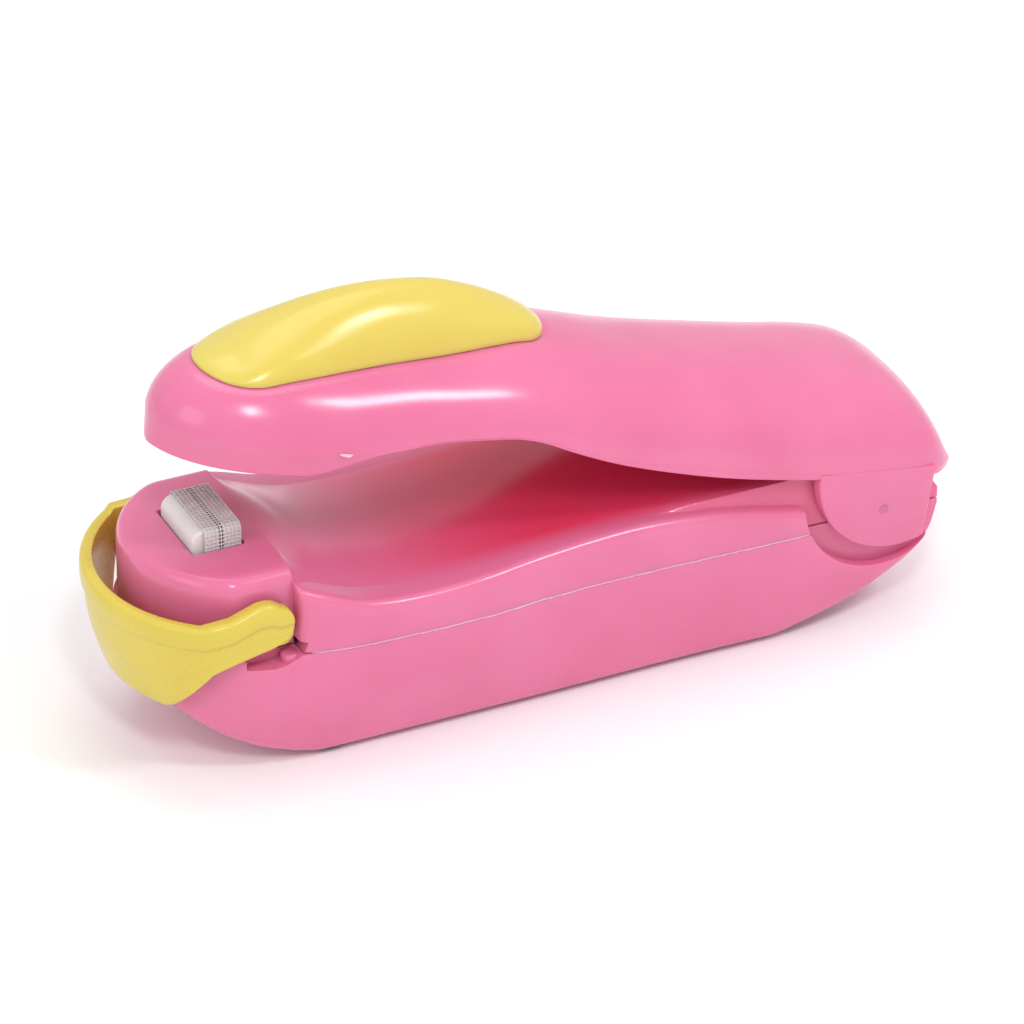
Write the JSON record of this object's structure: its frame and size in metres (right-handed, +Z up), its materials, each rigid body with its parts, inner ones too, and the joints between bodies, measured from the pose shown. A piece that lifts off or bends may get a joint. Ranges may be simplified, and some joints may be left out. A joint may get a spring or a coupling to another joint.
{
  "type": "handheld bag heat sealer",
  "caption": "Battery-powered handheld bag heat sealer with a sprung lever over a small heater, a thumb pad and a pivoting guard ring around its nose.",
  "frame": {"origin": "middle of the length and width, on the flat underside", "axes": "+X from the nose towards the hinge, +Y to the left seen from the hinge, +Z up"},
  "size_m": [0.1282, 0.04, 0.0638],
  "materials": {
    "pink_plastic": "glossy injection-moulded plastic",
    "yellow_plastic": "glossy injection-moulded plastic",
    "ring_plastic": "semi-gloss injection-moulded plastic",
    "white_plastic": "smooth satin",
    "glass_fibre_tape": "woven glass-fibre mesh",
    "silicone": "matt",
    "spring_steel": "drawn wire and turned steel",
    "contact_brass": "stamped strip",
    "nichrome": "dark drawn strip",
    "cell_jacket": "printed jacket, left plain",
    "lead_insulation": "soft insulation"
  },
  "bodies": {
    "base": {"base_upper_shell": "pink_plastic", "base_lower_shell": "pink_plastic", "hinge_pin": "spring_steel", "heater_spring": "spring_steel", "lever_spring": "spring_steel", "contact_blade_left": "contact_brass", "contact_blade_right": "contact_brass", "battery_cell_left": "cell_jacket", "battery_cell_right": "cell_jacket", "lead_left": "lead_insulation", "lead_right": "lead_insulation", "contact_plate_left": "contact_brass", "contact_plate_right": "contact_brass", "link_plate": "contact_brass", "battery_spring_front": "spring_steel", "battery_spring_rear": "spring_steel", "shell_screw_1": "spring_steel", "shell_screw_2": "spring_steel", "shell_screw_3": "spring_steel", "shell_screw_4": "spring_steel"},
    "lever": {"lever_shell": "pink_plastic", "thumb_pad": "yellow_plastic", "anvil_holder": "white_plastic", "anvil_pad": "silicone"},
    "guard_ring": {"guard_ring": "ring_plastic"},
    "heater": {"heater_block": "white_plastic", "heating_wire": "nichrome", "heater_tape": "glass_fibre_tape", "heater_tab_left": "contact_brass", "heater_tab_right": "contact_brass"},
    "battery_door": {"battery_door": "pink_plastic"}
  },
  "joints": [
    {"name": "lever_hinge", "type": "hinge", "parent": "base", "child": "lever", "pos_m": [0.0513, 0, 0.0189], "axis": [0, -1, 0], "range_deg": [0, 8], "stiffness_Nm_per_rad": 0.6, "springref_deg": -5.73, "deforming": ["lever_spring"]},
    {"name": "guard_ring_hinge", "type": "hinge", "parent": "base", "child": "guard_ring", "pos_m": [-0.0428, 0, 0.0226], "axis": [0, 1, 0], "range_deg": [0, 20]},
    {"name": "heater_press", "type": "slide", "parent": "base", "child": "heater", "axis": [0, 0, -1], "range_m": [0, 0.0016], "stiffness_N_per_m": 600, "springref_m": -0.001, "deforming": ["heater_spring"]},
    {"name": "battery_door_slide", "type": "slide", "parent": "base", "child": "battery_door", "axis": [1, 0, 0], "range_m": [0, 0.06]}
  ]
}
